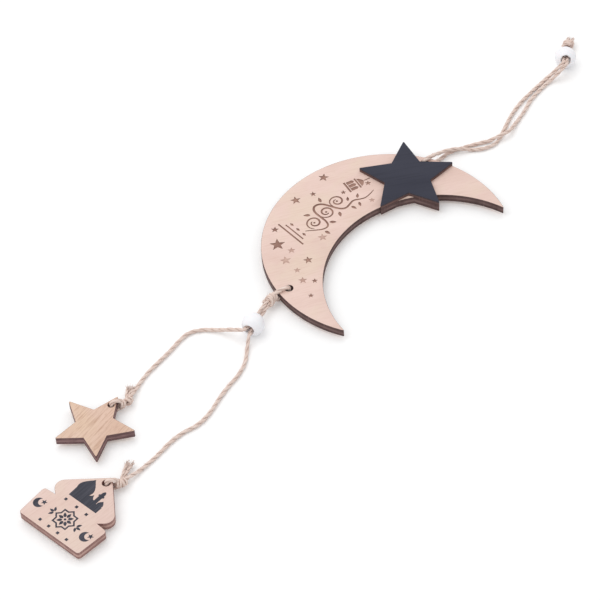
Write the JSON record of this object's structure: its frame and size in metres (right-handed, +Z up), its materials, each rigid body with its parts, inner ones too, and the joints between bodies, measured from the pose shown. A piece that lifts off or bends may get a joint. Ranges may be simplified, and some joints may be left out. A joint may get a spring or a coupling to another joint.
{
  "type": "hanging crescent ornament",
  "caption": "Flat wooden crescent with a dark star glued on its upper horn, hung on a beaded twine loop, with a small star and a mosque-shaped tag dangling on twine below",
  "frame": {"origin": "Middle of the plates and beads in plan, on the table that the ornament lies on", "axes": "+Z points up from the table through the plates' faces; +X runs to the right and +Y away from the viewer, so the ornament lies from the tag at -X -Y to the top bead at +X +Y"},
  "size_m": [0.2057, 0.2311, 0.008],
  "materials": {
    "pale_plywood": "sanded, bare, laser cut",
    "charcoal_stained_wood": "matt charcoal stain",
    "tan_plywood": "sanded, bare, laser cut",
    "light_plywood": "sanded, bare, printed",
    "white_bead": "satin gloss",
    "jute_twine": "two-ply twisted, fuzzy"
  },
  "bodies": {
    "crescent": {"crescent_plate": "pale_plywood", "dark_star": "charcoal_stained_wood"},
    "hanger": {"hanger_loop": "jute_twine", "hanger_front_leg": "jute_twine", "hanger_back_leg": "jute_twine", "hanger_end_knot": "jute_twine"},
    "top_bead": {"top_bead": "white_bead"},
    "lower_cords": {"lower_hitch": "jute_twine", "star_leg": "jute_twine", "tag_leg": "jute_twine"},
    "lower_bead": {"lower_bead": "white_bead"},
    "star_string": {"star_cord": "jute_twine", "star_knot": "jute_twine"},
    "small_star": {"small_star": "tan_plywood"},
    "tag_string": {"tag_cord": "jute_twine", "tag_knot": "jute_twine"},
    "mosque_tag": {"mosque_tag": "light_plywood"}
  },
  "joints": [
    {"name": "hanger_swing", "type": "hinge", "parent": "crescent", "child": "hanger", "pos_m": [0.04102, 0.0562, 0.0027], "axis": [0, 0, 1], "range_deg": [-25, 25]},
    {"name": "top_bead_slide", "type": "slide", "parent": "hanger", "child": "top_bead", "axis": [-0.0647, -0.9249, 0.3746], "range_m": [0, 0.0015]},
    {"name": "lower_swing", "type": "hinge", "parent": "crescent", "child": "lower_cords", "pos_m": [-0.01062, -0.00167, 0.0027], "axis": [0, 0, 1], "range_deg": [-25, 30]},
    {"name": "lower_bead_slide", "type": "slide", "parent": "lower_cords", "child": "lower_bead", "axis": [0.476, 0.8767, -0.0698], "range_m": [0, 0.007]},
    {"name": "star_string_swing", "type": "hinge", "parent": "lower_cords", "child": "star_string", "pos_m": [-0.03682, -0.01567, 0.0027], "axis": [0, 0, 1], "range_deg": [-45, 0]},
    {"name": "small_star_swing", "type": "hinge", "parent": "star_string", "child": "small_star", "pos_m": [-0.07232, -0.04937, 0.0027], "axis": [0, 0, 1], "range_deg": [-40, 15]},
    {"name": "tag_string_swing", "type": "hinge", "parent": "lower_cords", "child": "tag_string", "pos_m": [-0.02632, -0.02657, 0.0027], "axis": [0, 0, 1], "range_deg": [0, 45]},
    {"name": "mosque_tag_swing", "type": "hinge", "parent": "tag_string", "child": "mosque_tag", "pos_m": [-0.07392, -0.08277, 0.0027], "axis": [0, 0, 1], "range_deg": [-15, 40]}
  ]
}
